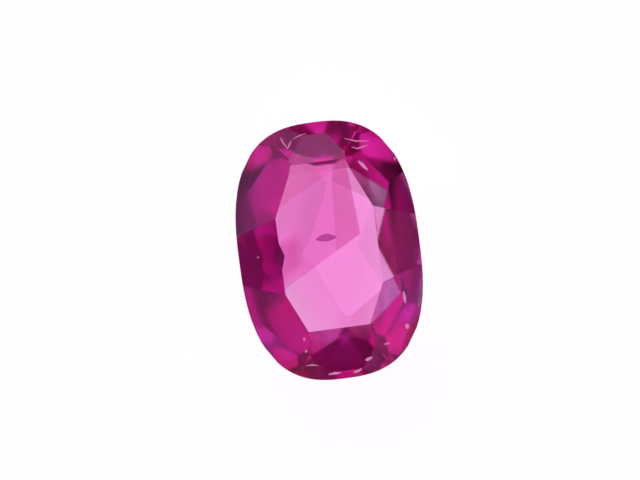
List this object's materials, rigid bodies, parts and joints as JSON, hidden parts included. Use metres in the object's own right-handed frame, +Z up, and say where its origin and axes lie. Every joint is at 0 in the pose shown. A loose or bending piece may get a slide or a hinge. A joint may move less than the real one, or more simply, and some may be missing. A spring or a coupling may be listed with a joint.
{
  "type": "cut ruby gemstone",
  "caption": "Faceted ruby in an elongated cushion outline, standing level on its bottom facet with its table up.",
  "frame": {"origin": "middle of the footprint, on the surface the stone stands on", "axes": "+Z up from the surface, +Y along the stone's length, +X across it"},
  "size_m": [0.005, 0.007, 0.0027],
  "materials": {
    "ruby": "polished, transparent pink-red corundum"
  },
  "bodies": {
    "root": {"ruby": "ruby"}
  },
  "joints": []
}
